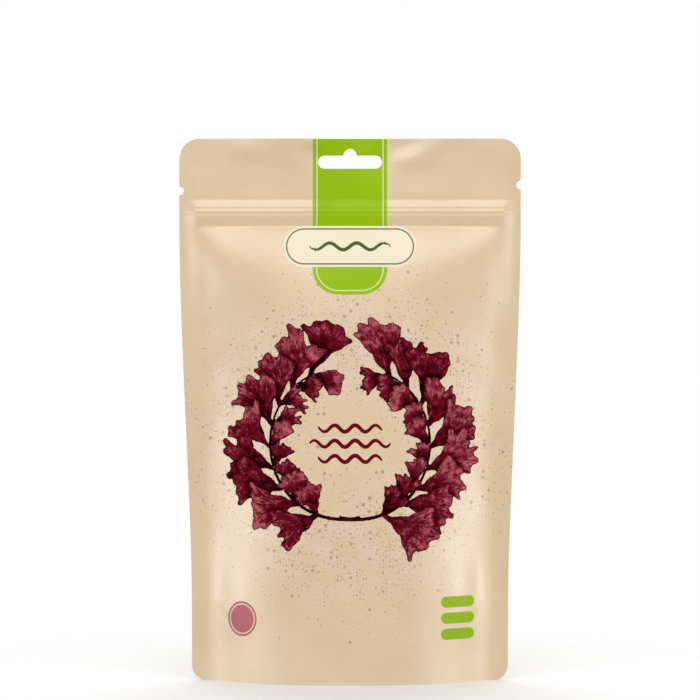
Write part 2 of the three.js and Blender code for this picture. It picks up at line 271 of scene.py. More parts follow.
def reliefOf(s, h, side):
    # The sum of dents on the body, the zipper's profile, puckers beside the side seals, swollen corners and
    # a crease along the gusset's seal with a ridge above it
    fromSeal = lensArc - np.abs(s)
    body = smoothStep(fromSeal, 0, handling["dentMargin"]) * between(h, *handling["dentHeights"])
    low, high = (-lensArc, 0), (lensArc, pouch["flatFrom"])
    sizes = handling["dentLength"], handling["dentWidth"], handling["dentDepth"], handling["dentLean"]
    relief = body * bells(s, h, side, handling["dents"], low, high, *sizes) + zipRelief(s, h)
    length, up, across = handling["puckerLengths"]
    waves = np.sin(h / length + handling["puckerWander"] * np.sin(h / up + s / across + side))
    waves = waves * between(h, *handling["puckerHeights"])
    place, width = handling["puckerPlace"]
    relief = relief + handling["pucker"] * waves * bell(fromSeal - place, width)
    (across, up), (width, height) = handling["cornerPlace"], handling["cornerSize"]
    relief = relief + handling["cornerSwell"] * bell(np.abs(s) - across, width) * bell(h - up, height)
    crease = handling["gussetCrease"] * smoothStep(np.abs(s), *handling["creaseSpan"])
    line = h - gussetLine(s)
    share, lift, width = handling["creaseRidge"]
    return relief - crease * bell(line, handling["creaseWidth"]) + share * crease * bell(line - lift, width)


def bendOf(s, h):
    # Both panels bend together: the header above the zipper in long and short waves and dents, and the side
    # edges below it in one slow wave
    header = smoothStep(h, handling["headerFrom"], pouch["height"])
    length, phase = handling["headerLong"]
    waves = np.sin(s / length + phase)
    share, across, up, phase = handling["headerShort"]
    waves = waves + share * np.sin(s / across - h / up + phase)
    sizes = handling["headerDentLength"], handling["headerDentWidth"], handling["headerDentDepth"], math.pi
    corners = handling["headerDentCorners"]
    dents = bells(s, h, handling["headerDentSeed"], handling["headerDents"], *corners, *sizes)
    waves = waves + dents / handling["headerWave"]
    edges = np.sin(h / handling["edgeLength"] + np.sign(s) * handling["edgePhase"])
    edges = edges * smoothStep(np.abs(s), *handling["edgeSpan"]) * between(h, *handling["edgeHeights"])
    return handling["headerWave"] * header * waves + handling["edgeWave"] * edges


def filling(s, h):
    # What pushes a panel out: its depth times the cross-section, and the shoulder
    return depthAt(h) * crossSection(placeOnChord(s, h), h) + shoulderAt(s, h)


def acrossAt(s, h, place):
    # The place on the lens's half chord, and past the lens the width of the flat seal
    chord = np.interp(h, tableHeights, tableChords)
    return np.sign(s) * (place * chord + np.maximum(np.abs(s) - lensArc, 0))


def formFilm(flat, side):
    # y is opening plus filling plus relief, and z is the height; the filling is a mean over five points
    # across, so that the film bends softly into the seals
    s, h = flat[:, 0], flat[:, 1]
    filled = sum(share * filling(s + shift, h) for shift, share in pouch["sealBend"])
    y = side * (layerOpening(s, h) + filled + reliefOf(s, h, side)) + bendOf(s, h)
    return np.column_stack([acrossAt(s, h, placeOnChord(s, h)), y, h])


# Flat blanks

cut = {
    "topCorner": 9.5,
    "bottomCorner": 7.0,
    "slotWidth": 30.0,
    "slotHeight": 6.2,
    "slotBottom": 240.0,
    "slotRise": 3.1,
    "notch": 2.1,
    "leftNotch": 229.6,
    "rightNotch": 232.3,
    "pitch": 1.25,  # spacing of points in the plain film
    "printPitch": 0.62,  # and under the wreath
    "zipPitch": 0.5,  # and over the zipper
    "innerPitch": 2.6,  # and on the inner face
    "innerZipPitch": 0.7,
    "zipZone": (-2.5, 10.5),  # where the zipper's pitches hold: middle from the zipper's, and half height
    "edgeMargin": 0.6,  # share of the pitch that points inside keep from an edge
}
slotMiddle = cut["slotBottom"] + cut["slotHeight"] / 2
slotTop = cut["slotBottom"] + cut["slotHeight"]
slotStraight = (cut["slotWidth"] - cut["slotHeight"]) / 2


def arc(centre, radius, start, end, pitch=0.7):
    # Points on a circle from one angle to another, in degrees
    count = max(3, int(abs(math.radians(end - start)) * radius / pitch) + 1)
    angle = np.radians(np.linspace(start, end, count))
    return np.column_stack([centre[0] + radius * np.cos(angle), centre[1] + radius * np.sin(angle)])


def evenLoop(corners, pitch):
    # A closed loop whose long sides are cut into pieces about pitch long
    sides = np.roll(corners, -1, 0) - corners
    pieces = np.maximum(1, np.ceil(np.hypot(sides[:, 0], sides[:, 1]) / pitch)).astype(int)
    start = np.repeat(np.arange(len(corners)), pieces)
    first = np.repeat(np.cumsum(pieces) - pieces, pieces)
    share = (np.arange(pieces.sum()) - first) / pieces[start]
    return corners[start] + sides[start] * share[:, None]


def hexGrid(low, high, pitch):
    # Points in rows, every other row shifted by half a step
    rows = np.arange(low[1], high[1], pitch * math.sqrt(0.75))
    columns = np.arange(low[0], high[0], pitch)
    s, h = np.meshgrid(columns, rows)
    s = s + (np.arange(len(rows)) % 2)[:, None] * pitch / 2
    return np.column_stack([s.ravel(), h.ravel()])


def boxDistance(s, h, centre, half, radius):
    # Signed distance to a box with round corners, negative inside
    overS = np.abs(s - centre[0]) - half[0] + radius
    overH = np.abs(h - centre[1]) - half[1] + radius
    outside = np.hypot(np.maximum(overS, 0), np.maximum(overH, 0))
    return outside + np.minimum(np.maximum(overS, overH), 0) - radius


def panelLoops():
    # The cut edge with its corners and notches, and the hang hole, which runs the other way round
    half, top = pouch["width"] / 2, pouch["height"]
    low, high, notch = cut["bottomCorner"], cut["topCorner"], cut["notch"]
    outline = np.vstack([
        arc((low - half, low), low, 180, 270),
        arc((half - low, low), low, 270, 360),
        arc((half, cut["rightNotch"]), notch, -90, -270),
        arc((half - high, top - high), high, 0, 90),
        arc((high - half, top - high), high, 90, 180),
        arc((-half, cut["leftNotch"]), notch, 90, -90),
    ])
    slot = np.vstack([
        arc((slotStraight, slotMiddle), cut["slotHeight"] / 2, -90, 90),
        arc((0, slotTop), cut["slotRise"], 0, 180),
        arc((-slotStraight, slotMiddle), cut["slotHeight"] / 2, 90, 270),
    ])
    return [evenLoop(outline, cut["pitch"]), evenLoop(slot[::-1], cut["pitch"])]


def panelDistance(s, h):
    # Signed distance to the cut edge of a panel, negative inside the film
    half, top = pouch["width"] / 2, pouch["height"]
    corner = np.where(h > top / 2, cut["topCorner"], cut["bottomCorner"])
    sheet = boxDistance(s, h, (0, top / 2), (half, top / 2), corner)
    slotHalf = (cut["slotWidth"] / 2, cut["slotHeight"] / 2)
    slot = boxDistance(s, h, (0, slotMiddle), slotHalf, slotHalf[1])
    rise = np.hypot(s, h - slotTop) - cut["slotRise"]
    left = np.hypot(s + half, h - cut["leftNotch"]) - cut["notch"]
    right = np.hypot(s - half, h - cut["rightNotch"]) - cut["notch"]
    holes = np.minimum(np.minimum(slot, rise), np.minimum(left, right))
    return np.maximum(sheet, -holes)


def triangulate(loops, inside, distance):
    # The loops' edges are kept, and triangles whose middle is off the film are dropped
    points = np.vstack(loops + [inside])
    starts = np.cumsum([0] + [len(loop) for loop in loops])
    rims = np.vstack([
        np.column_stack([np.arange(len(loop)), (np.arange(len(loop)) + 1) % len(loop)]) + start
        for loop, start in zip(loops, starts)
    ])
    nearest = 1e-6  # points closer than this count as one
    found = delaunay_2d_cdt(points.tolist(), rims.tolist(), [], 0, nearest, False)
    triangles = np.array(found[2])
    middle = points[triangles].mean(1)
    return points, triangles[distance(middle[:, 0], middle[:, 1]) < 0], rims


def blank(loops, distance, low, high, pitch, fine=()):
    # Grid points well inside the edge; each of fine is a smaller pitch and a test for the points it holds for
    grid = hexGrid(low, high, pitch)
    for finePitch, covers in fine:
        finer = hexGrid(low, high, finePitch)
        grid = np.vstack([grid[~covers(*grid.T)], finer[covers(*finer.T)]])
    inside = grid[distance(*grid.T) < -cut["edgeMargin"] * pitch]
    return triangulate(loops, inside, distance)


# Meshes

def vertexNormals(points, triangles):
    # The sum of the normals of the triangles round a point, each as long as its triangle is large
    a, b, c = (points[triangles[:, k]] for k in range(3))
    normals = np.cross(b - a, c - a)
    total = np.zeros_like(points)
    for k in range(3):
        for axis in range(3):
            total[:, axis] += np.bincount(triangles[:, k], normals[:, axis], len(points))
    return total / np.maximum(np.linalg.norm(total, axis=1, keepdims=True), 1e-9)


def putPiece(name, points, triangles, material, nodes, attributes=None, sharp=40):
    # A mesh object in metres, which rides on the root body and stands for the nodes
    mesh = bpy.data.meshes.new(name)
    mesh.from_pydata((points * millimetre).tolist(), [], triangles.tolist())
    mesh.polygons.foreach_set("use_smooth", np.ones(len(triangles), bool))
    mesh.set_sharp_from_angle(angle=math.radians(sharp))
    for key, values in (attributes or {}).items():
        kind = "FLOAT_VECTOR" if values.ndim == 2 else "FLOAT"
        field = "vector" if values.ndim == 2 else "value"
        mesh.attributes.new(key, kind, "POINT").data.foreach_set(field, values.astype(np.float32).ravel())
    mesh.materials.append(material)
    piece = bpy.data.objects.new(name, mesh)
    bpy.context.scene.collection.objects.link(piece)
    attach(piece, "root")
    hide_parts(*nodes)
    print(name, len(points), "points", len(triangles), "triangles")
    return piece


def closeSheet(outer, outerTriangles, inner, innerTriangles, rims):
    # Two faces with the same rim points, the inner one turned over, joined by a band along each rim
    shift = len(outer)
    near, far = rims[:, 0], rims[:, 1]
    bands = np.vstack([
        np.column_stack([far, near, near + shift]),
        np.column_stack([far, near + shift, far + shift]),
    ])
    triangles = np.vstack([outerTriangles, innerTriangles[:, ::-1] + shift, bands])
    return np.vstack([outer, inner]), triangles


# Print: signed distances in flat millimetres, negative where there is ink

printing = {
    "seed": 4,
    "bandHalf": 17.4,
    "bandFoot": 181.0,
    "bandCorner": 12.0,
    "plate": (0.0, 203.5),
    "plateHalf": (31.0, 9.6),
    "plateWave": (19.0, 1.6, 12.7, 0.85),  # half length, swing, wave length and half width of its line
    "thinnest": 0.4,  # of a wave's line at its ends
    "pills": ((53.0, 38.0), (53.0, 30.5), (53.0, 23.0)),
    "pillHalf": (9.5, 2.6),
    "disc": (-53.0, 30.0),
    "discRadius": 8.2,
    "spatterRing": (47.0, 24.0),  # radius from the wreath's middle, and width
    "backPlate": ((0.0, 118.0), (54.0, 62.0), 8.0),  # middle, half size and corner
    "bare": 50.0,  # distance given to film with no print
}
wreath = {
    "middle": (0.0, 112.0),
    "radius": 35.0,
    "stem": (0.9, 0.4),  # half width at the foot and at the tip
    "stemShift": 3.0,  # each stem's circle is moved out, so that they cross at the foot
    "stemFrom": -103.0,
    "stemTo": 66.0,
    "fronds": 9,  # along each stem
    "frondFrom": -70.0,
    "frondTo": 63.0,
    "outer": (27.0, 44.0),  # length, and degrees turned out from the stem
    "inner": (15.5, -40.0),
    "wander": (0.035, 0.17),  # swing and length of the wavering, as shares of a frond's length
    "web": 0.13,  # how far its limbs are joined
    "sizes": (0.9, 1.1),  # shares of the stated length
    "extent": 1.4,  # no part of a frond is further from its base, as a share of its length
    "shade": (0.18, 0.5, 0.14),  # at a frond's foot, its rise to the tips, and how far fronds differ
    "stemShade": 0.2,
    "shadow": (0.45, 1.3),  # of a frond on those below, and its reach
    "waves": ((15.0, 7.0), (19.0, 0.0), (15.0, -7.0)),  # half length and height of the lines in the middle
    "wave": (1.5, 9.5, 0.95),  # swing, wave length and half width
}
blade = {  # lengths and radii are shares of a frond's length, angles are radians
    "stipe": 0.32,
    "limb": (0.26, 0.36),
    "tip": (0.17, 0.33),
    "limbs": (3, 5),  # at least the first, and fewer than the second
    "levels": 3,  # stipe, limbs and tips
    "fan": 0.62,
    "fork": 0.34,
    "stray": 0.13,
    "stipeRadius": (0.03, 0.095),
    "limbRadius": (0.07, 0.085),
    "tipRadius": (0.03, 0.062),
}


def limbDistance(s, h, start, end, startRadius, endRadius):
    # Distance to a straight limb with round ends of two sizes: to its ends beyond them, and to its slanted
    # side between them
    run = math.hypot(end[0] - start[0], end[1] - start[1])
    ahead = ((end[0] - start[0]) / run, (end[1] - start[1]) / run)
    along = (s - start[0]) * ahead[0] + (h - start[1]) * ahead[1]
    leftward = (h - start[1]) * ahead[0] - (s - start[0]) * ahead[1]
    over = np.abs(leftward)
    slope = (startRadius - endRadius) / run
    upright = math.sqrt(1 - slope * slope)
    station = upright * along - slope * over
    side = over * upright + along * slope - startRadius
    tip = np.hypot(over, along - run) - endRadius
    foot = np.hypot(over, along) - startRadius
    distance = np.where(station < 0, foot, np.where(station > upright * run, tip, side))
    return distance, np.clip(along / run, 0, 1), leftward


def roundedLess(first, second, reach):
    # The lesser of two distances, less still where they differ by under reach, so that corners are filled
    near = np.maximum(reach - np.abs(first - second), 0) / reach
    return np.minimum(first, second) - near * near * reach / 4


def frondLimbs(base, heading, size, draw):
    # A stipe that splits in three or four limbs, each of which splits in two: start, end, radii and level
    def reach(start, angle, share):
        return start[0] + share * size * math.cos(angle), start[1] + share * size * math.sin(angle)

    def radii(pair):
        return [share * size for share in pair]

    fork = reach(base, heading, blade["stipe"])
    limbs = [(base, fork, *radii(blade["stipeRadius"]), 0)]
    for turn in np.linspace(-blade["fan"], blade["fan"], draw.integers(*blade["limbs"])):
        angle = heading + turn + draw.uniform(-blade["stray"], blade["stray"])
        end = reach(fork, angle, draw.uniform(*blade["limb"]))
        limbs.append((fork, end, *radii(blade["limbRadius"]), 1))
        for split in (-blade["fork"], blade["fork"]):
            tipAngle = angle + split + draw.uniform(-blade["stray"], blade["stray"])
            tip = reach(end, tipAngle, draw.uniform(*blade["tip"]))
            tipRadii = (blade["limbRadius"][0], draw.uniform(*blade["tipRadius"]))
            limbs.append((end, tip, *radii(tipRadii), 2))
    return limbs


def frondField(s, h, base, heading, size, draw):
    # The film's coordinates waver so that no limb is straight, and shade rises along the frond
    phase = draw.uniform(0, 2 * math.pi, 2)
    swing, length = (share * size for share in wreath["wander"])
    bentS = s + swing * (np.sin(h / length + phase[0]) - math.sin(base[1] / length + phase[0]))
    bentH = h + swing * (np.sin(s / length + phase[1]) - math.sin(base[0] / length + phase[1]))
    distance = np.full_like(s, printing["bare"])
    nearest, growth, leftward = distance.copy(), np.zeros_like(s), np.zeros_like(s)
    for start, end, startRadius, endRadius, level in frondLimbs(base, heading, size, draw):
        limb, along, left = limbDistance(bentS, bentH, start, end, startRadius, endRadius)
        nearer = limb < nearest
        growth = np.where(nearer, (level + along) / blade["levels"], growth)
        leftward = np.where(nearer, left, leftward)
        nearest = np.minimum(nearest, limb)
        distance = roundedLess(distance, limb, wreath["web"] * size)
    foot, rise, differ = wreath["shade"]
    shade = foot + rise * growth + draw.uniform(-differ, differ)
    return distance, shade, np.column_stack([leftward, growth * size, np.full_like(s, size)])


def stemDistance(s, h):
    # A circle's line that narrows to its tip, cut off beyond its two angles, which are counted from a quarter
    # turn before its foot
    turn = 360
    away = np.hypot(s - wreath["stemShift"], h - wreath["middle"][1])
    angle = np.degrees(np.arctan2(h - wreath["middle"][1], s - wreath["stemShift"]))
    angle = np.where(angle > wreath["stemFrom"] + 0.75 * turn, angle - turn, angle)
    share = np.clip((angle - wreath["stemFrom"]) / (wreath["stemTo"] - wreath["stemFrom"]), 0, 1)
    half = wreath["stem"][0] + share * (wreath["stem"][1] - wreath["stem"][0])
    beyond = np.maximum(wreath["stemFrom"] - angle, angle - wreath["stemTo"])
    return np.maximum(np.abs(away - wreath["radius"]) - half, np.radians(beyond) * wreath["radius"])


def wreathField(s, h):
    # Fronds are laid one over another: the topmost gives its edge distance, shade and grain, and it shades
    # those below
    draw = np.random.default_rng(printing["seed"])
    edge = np.minimum(stemDistance(s, h), stemDistance(-s, h))
    shade = np.full_like(s, wreath["stemShade"])
    grain = np.zeros((len(s), 3))
    dark, reach = wreath["shadow"]
    for angle in np.radians(np.linspace(wreath["frondTo"], wreath["frondFrom"], wreath["fronds"])):
        base = (
            wreath["stemShift"] + wreath["radius"] * math.cos(angle),
            wreath["middle"][1] + wreath["radius"] * math.sin(angle),
        )
        for length, turn in (wreath["inner"], wreath["outer"]):
            for mirror in (-1, 1):
                size = length * draw.uniform(*wreath["sizes"])
                heading = angle + math.pi / 2 - math.radians(turn)
                near = np.flatnonzero(np.hypot(mirror * s - base[0], h - base[1]) < wreath["extent"] * size)
                field = frondField(mirror * s[near], h[near], base, heading, size, draw)
                distance, ownShade, ownGrain = field
                shown = (distance < 0) | ((edge[near] > 0) & (distance < edge[near]))
                shadow = dark * np.exp(-np.maximum(distance, 0) / reach)
                edge[near] = np.where(shown, distance, edge[near])
                shade[near] = np.where(shown, ownShade, shade[near] - shadow)
                grain[near] = np.where(shown[:, None], ownGrain, grain[near])
    return edge, shade, grain


def waveStroke(s, h, middle, half, swing, length, width):
    # A sine line that gets thinner towards both ends, down to the share thinnest
    share = np.clip(np.abs(s - middle[0]) / half, 0, 1)
    turn = (s - middle[0]) * 2 * math.pi / length
    slope = swing * 2 * math.pi / length * np.cos(turn)
    line = np.abs(h - middle[1] - swing * np.sin(turn)) / np.hypot(1, slope)
    thinnest = printing["thinnest"]
    taper = thinnest + (1 - thinnest) * np.sqrt(1 - share ** 2)
    return np.maximum(line - width * taper, np.abs(s - middle[0]) - half)


def bandDistance(s, h):
    # A box that goes on past the top edge, so that only its foot has round corners
    top = pouch["height"] + 2 * printing["bandCorner"]
    middle = (top + printing["bandFoot"]) / 2
    half = (printing["bandHalf"], (top - printing["bandFoot"]) / 2)
    return boxDistance(s, h, (0, middle), half, printing["bandCorner"])


def frontPrint(flat):
    # The signed distance of each ink, and the fronds' shade and grain and the spatter's strength
    s, h = flat[:, 0], flat[:, 1]
    pillHalf = printing["pillHalf"]
    pills = [boxDistance(s, h, middle, pillHalf, pillHalf[1]) for middle in printing["pills"]]
    plateHalf = printing["plateHalf"]
    across, up = wreath["middle"]
    edge, shade, grain = wreathField(s, h)
    waves = [waveStroke(s, h, (across, up + lift), half, *wreath["wave"]) for half, lift in wreath["waves"]]
    ring, width = printing["spatterRing"]
    return {
        "band": bandDistance(s, h),
        "pills": np.minimum.reduce(pills),
        "plate": boxDistance(s, h, printing["plate"], plateHalf, plateHalf[1]),
        "plateWave": waveStroke(s, h, printing["plate"], *printing["plateWave"]),
        "frondEdge": edge,
        "frondShade": shade,
        "frondGrain": grain,
        "waves": np.minimum.reduce(waves),
        "disc": np.hypot(s - printing["disc"][0], h - printing["disc"][1]) - printing["discRadius"],
        "spatter": bell(np.hypot(s - across, h - up) - ring, width),
    }


def backPrint(flat):
    # The band goes on over the top, and a pale plate is left blank
    s, h = flat[:, 0], flat[:, 1]
    bare = np.full_like(s, printing["bare"])
    return {
        "band": bandDistance(s, h),
        "pills": bare,
        "plate": boxDistance(s, h, *printing["backPlate"]),
        "plateWave": bare,
        "frondEdge": bare,
        "frondShade": 0 * s,
        "frondGrain": np.zeros((len(s), 3)),
        "waves": bare,
        "disc": bare,
        "spatter": 0 * s,
    }


# Materials

class Shade:
    # A shader socket: arithmetic on it adds Math nodes, and node() adds any other node
    def __init__(self, tree, socket=None):
        self.tree = tree
        self.socket = socket

    def node(self, kind, settings=None, sockets=None, output=0):
        made = self.tree.nodes.new(kind)
        for key, value in (settings or {}).items():
            setattr(made, key, value)
        for key, value in (sockets or {}).items():
            if isinstance(value, Shade):
                self.tree.links.new(value.socket, made.inputs[key])
            else:
                made.inputs[key].default_value = value
        return Shade(self.tree, made.outputs[output])

    def maths(self, operation, first, second=0.0):
        return self.node("ShaderNodeMath", {"operation": operation}, {0: first, 1: second})

    def __add__(self, other):
        return self.maths("ADD", self, other)

    def __sub__(self, other):
        return self.maths("SUBTRACT", self, other)

    def __rsub__(self, other):
        return self.maths("SUBTRACT", other, self)

    def __mul__(self, other):
        return self.maths("MULTIPLY", self, other)

    def __truediv__(self, other):
        return self.maths("DIVIDE", self, other)

    def __abs__(self):
        return self.maths("ABSOLUTE", self)

    def below(self, limit):
        return self.maths("LESS_THAN", self, limit)

    def ramp(self, low, high, first=0.0, last=1.0):
        # first up to low, last from high on, and a smooth step between them
        return self.node(
            "ShaderNodeMapRange",
            {"interpolation_type": "SMOOTHSTEP"},
            {"Value": self, "From Min": low, "From Max": high, "To Min": first, "To Max": last},
        )

    def mix(self, share, first, second):
        return self.node("ShaderNodeMix", {"data_type": "RGBA"}, {0: share, 6: first, 7: second}, 2)

    def noise(self, place, scale, detail=3.0, roughness=0.55):
        sockets = {"Vector": place, "Scale": scale, "Detail": detail, "Roughness": roughness}
        return self.node("ShaderNodeTexNoise", None, sockets)

    def scaled(self, place, factors):
        return self.node("ShaderNodeVectorMath", {"operation": "MULTIPLY"}, {0: place, 1: factors})

    def attribute(self, name, output="Fac"):
        return self.node("ShaderNodeAttribute", {"attribute_name": name}, None, output)


def linear(red, green, blue):
    # A display colour from 0 to 255 as the shader's linear values
    shares = np.array([red, green, blue]) / 255
    values = np.where(shares <= 0.04045, shares / 12.92, ((shares + 0.055) / 1.055) ** 2.4)
    return (*values.tolist(), 1.0)


def newMaterial(name, settings):
    material = bpy.data.materials.new(name)
    material.use_nodes = True
    shader = material.node_tree.nodes["Principled BSDF"]
    for key, value in settings.items():
        shader.inputs[key].default_value = value
    return material, shader, Shade(material.node_tree)


def connect(shader, **links):
    for key, value in links.items():
        socket = shader.inputs[key.replace("_", " ")]
        value.tree.links.new(value.socket, socket)


noiseSpan = (0.3, 0.7)  # nearly all of a noise lies between these
noiseCore = (0.35, 0.65)  # and most of it between these
kraft = {  # scales are per millimetre of film, and a ramp is from, to and the shares there
    "pale": linear(228, 203, 168),
    "mid": linear(221, 194, 155),
    "dark": linear(202, 170, 129),
    "speck": linear(160, 124, 86),
    "cloudScale": 0.035,
    "fineScale": 0.9,
    "fineShare": 0.5,  # beside the clouds, in the colour
    "fineHeight": 0.6,  # beside the fibres, in the height
    "fibreScales": ((0.16, 2.4, 1), (2.2, 0.2, 1), (0.18, 2.3, 1)),  # level, upright and slanted ones
    "slant": 0.8,  # radians
    "fibreRamp": (0.52, 0.72, 0.0, 0.4),
    "speckScale": 1.7,
    "speckRamp": (0.72, 0.8, 0.0, 0.35),
    "fibreBump": 0.00003,
    "bumpStrength": 0.5,
    "roughness": (0.45, 0.55),
    "underCoat": 0.0,  # specular level below the varnish
    "coatRoughness": 0.34,
    "coatIndex": 1.8,
    "coat": (0.9, 1.0),
}
ink = {
    "green": linear(145, 184, 4),
    "greenLight": linear(160, 196, 14),
    "plate": linear(240, 229, 204),
    "plateLine": linear(60, 84, 20),
    "wineDark": linear(34, 2, 5),
    "wine": linear(104, 13, 32),
    "wineLight": linear(188, 94, 106),
    "rose": linear(186, 108, 114),
    "spatter": linear(146, 104, 92),
    "wash": linear(233, 206, 195),
    "ragged": 0.16,  # how far, in millimetres, the ink's edge strays
    "raggedScale": 1.4,
    "soft": 0.06,  # half width of an edge
    "mottle": 0.35,  # share of the lighter tone in the clouds of an ink
    "plateCover": 0.97,
    "lines": {"disc": (1.3, 0.3, 0.8), "band": (1.9, 0.28, 0.75), "plate": (1.4, 0.34, 0.9)},
    "varnish": {"frond": 0.0, "solid": 0.15},  # ink is less glossy than bare film
}
frondInk = {
    "ragged": 0.45,
    "raggedScale": 0.75,
    "grain": (1.2, 0.2, 1),  # scales of the streaks across and along a frond, and from frond to frond
    "streaks": 1.4,  # how strongly they change the shade
    "blots": 1.3,
    "blotScale": 0.3,
    "darkRamp": (0.05, 0.5),  # shades between which the dark tone ends
    "lightRamp": (0.5, 1.0),
    "rimRamp": (-0.6, -0.1, 0.0, 0.85),  # distances from the edge, and the share of the dark tone there
    "rimBlots": 1.6,
}
spatter = {
    "dots": ((0.8, 0.75, 0.5), (1.5, 0.7, 0.55), (3.0, 0.4, 0.55)),  # cell, share of cells and strength
    "radius": (0.08, 0.22),  # least, and what chance adds to it, as shares of a cell
    "soft": 0.05,
    "crowdScale": 0.07,
    "crowdRamp": (0.3, 0.65, 0.15, 1.0),
    "washScale": 0.09,
    "wash": 0.55,
}


def kraftPaper(root, film):
    # Colour and height of bare kraft: clouds, fibres lying in three directions, and a few dark specks
    clouds = root.noise(film, kraft["cloudScale"], detail=4)
    fine = root.noise(film, kraft["fineScale"], detail=4, roughness=0.7)
    turn = {"rotation_type": "Z_AXIS"}
    turned = root.node("ShaderNodeVectorRotate", turn, {"Vector": film, "Angle": kraft["slant"]})
    places = [root.scaled(*pair) for pair in zip((film, film, turned), kraft["fibreScales"])]
    level, upright, slanted = (root.noise(place, 1.0, detail=2) for place in places)
    fibres = (level + upright + slanted) / 3.0
    mottling = clouds * (1 - kraft["fineShare"]) + fine * kraft["fineShare"]
    colour = root.mix(mottling.ramp(*noiseSpan), kraft["mid"], kraft["pale"])
    colour = root.mix(fibres.ramp(*kraft["fibreRamp"]), colour, kraft["dark"])
    specks = root.noise(film, kraft["speckScale"], detail=2, roughness=0.6)
    colour = root.mix(specks.ramp(*kraft["speckRamp"]), colour, kraft["speck"])
    return colour, fibres + fine * kraft["fineHeight"], clouds


def dots(root, film, size, density):
    # Round dots of differing size, one to a cell, kept where the cell's random number is below the density
    cells = {"voronoi_dimensions": "2D"}
    sockets = {"Vector": film, "Scale": 1 / size}
    distance = root.node("ShaderNodeTexVoronoi", cells, sockets, "Distance")
    random = {"Color": root.node("ShaderNodeTexVoronoi", cells, sockets, "Color")}
    chance = root.node("ShaderNodeSeparateColor", None, random, "Red")
    least, more = spatter["radius"]
    radius = root.node("ShaderNodeSeparateColor", None, random, "Green") * more + least
    return (distance - radius).ramp(-spatter["soft"], spatter["soft"], 1.0, 0.0) * chance.below(density)


def newFilm(name):
    # What both kinds of film share: the coat, the kraft's colour and roughness, and a bump from its fibres
    settings = {
        "Specular IOR Level": kraft["underCoat"],
        "Coat Roughness": kraft["coatRoughness"],
        "Coat IOR": kraft["coatIndex"],
    }
    material, shader, root = newMaterial(name, settings)
    film = root.attribute("film", "Vector")
    colour, height, clouds = kraftPaper(root, film)
    sockets = {"Strength": kraft["bumpStrength"], "Distance": kraft["fibreBump"], "Height": height}
    bump = root.node("ShaderNodeBump", None, sockets)
    connect(shader, Roughness=clouds.ramp(*noiseSpan, *kraft["roughness"]), Normal=bump)
    return material, shader, root, film, colour, clouds


def printedKraft(name):
    # Inks are laid over the kraft one by one, each where its signed distance is below nought
    material, shader, root, film, colour, clouds = newFilm(name)
    soft = ink["soft"]
    stray = (root.noise(film, ink["raggedScale"], detail=3) - 0.5) * (2 * ink["ragged"])

    def covered(distance):
        return (distance + stray).ramp(-soft, soft, 1.0, 0.0)

    def lined(key, distance, fill, line):
        # A line along the edge: how far inside it, half width and strength
        inset, half, strength = ink["lines"][key]
        return root.mix((abs(distance + inset) - half).ramp(-soft, soft, strength, 0.0), fill, line)

    sprayed = root.attribute("spatter")
    washed = sprayed * root.noise(film, spatter["washScale"], detail=3).ramp(*noiseCore) * spatter["wash"]
    colour = root.mix(washed, colour, ink["wash"])
    crowding = sprayed * root.noise(film, spatter["crowdScale"], detail=2).ramp(*spatter["crowdRamp"])
    for size, density, strength in spatter["dots"]:
        colour = root.mix(dots(root, film, size, crowding * density) * strength, colour, ink["spatter"])

    blots = root.noise(film, frondInk["blotScale"], detail=4, roughness=0.6) - 0.5
    frondStray = root.noise(film, frondInk["raggedScale"], detail=4, roughness=0.6) - 0.5
    edge = root.attribute("frondEdge") + frondStray * (2 * frondInk["ragged"])
    grain = root.scaled(root.attribute("frondGrain", "Vector"), frondInk["grain"])
    streaks = root.noise(grain, 1.0, detail=3, roughness=0.6)
    shade = root.attribute("frondShade") + (streaks - 0.5) * frondInk["streaks"] + blots * frondInk["blots"]
    wine = root.mix(shade.ramp(*frondInk["darkRamp"]), ink["wineDark"], ink["wine"])
    wine = root.mix(shade.ramp(*frondInk["lightRamp"]), wine, ink["wineLight"])
    rim = (edge + blots * frondInk["rimBlots"]).ramp(*frondInk["rimRamp"])
    wine = root.mix(rim, wine, ink["wineDark"])
    inked = edge.ramp(-soft, soft, 1.0, 0.0)
    waves = covered(root.attribute("waves"))
    colour = root.mix(inked, colour, wine)
    colour = root.mix(waves, colour, ink["wine"])

    disc = root.attribute("disc")
    rose = root.mix(streaks.ramp(*noiseSpan, 0.0, ink["mottle"]), ink["rose"], ink["wineLight"])
    colour = root.mix(covered(disc), colour, lined("disc", disc, rose, ink["plate"]))

    band = root.attribute("band")
    pills = covered(root.attribute("pills"))
    lime = root.mix(clouds.ramp(*noiseCore, 0.0, ink["mottle"]), ink["green"], ink["greenLight"])
    colour = root.mix(pills, colour, lime)
    colour = root.mix(covered(band), colour, lined("band", band, lime, ink["plate"]))

    plate = root.attribute("plate")
    label = lined("plate", plate, ink["plate"], ink["plateLine"])
    label = root.mix(covered(root.attribute("plateWave")), label, ink["plateLine"])
    colour = root.mix(covered(plate) * ink["plateCover"], colour, label)

    def most(first, second):
        return root.maths("MAXIMUM", first, second)

    solid = most(most(covered(band), pills), most(covered(plate), covered(disc)))
    drawn = most(inked, waves) * (1 - solid)
    dulled = solid * (1 - ink["varnish"]["solid"]) + drawn * (1 - ink["varnish"]["frond"])
    coat = clouds.ramp(*noiseSpan, *kraft["coat"]) * (1 - dulled)
    connect(shader, Base_Color=colour, Coat_Weight=coat)
    return material


def bareKraft(name):
    material, shader, root, film, colour, clouds = newFilm(name)
    connect(shader, Base_Color=colour, Coat_Weight=clouds.ramp(*noiseSpan, *kraft["coat"]))
    return material


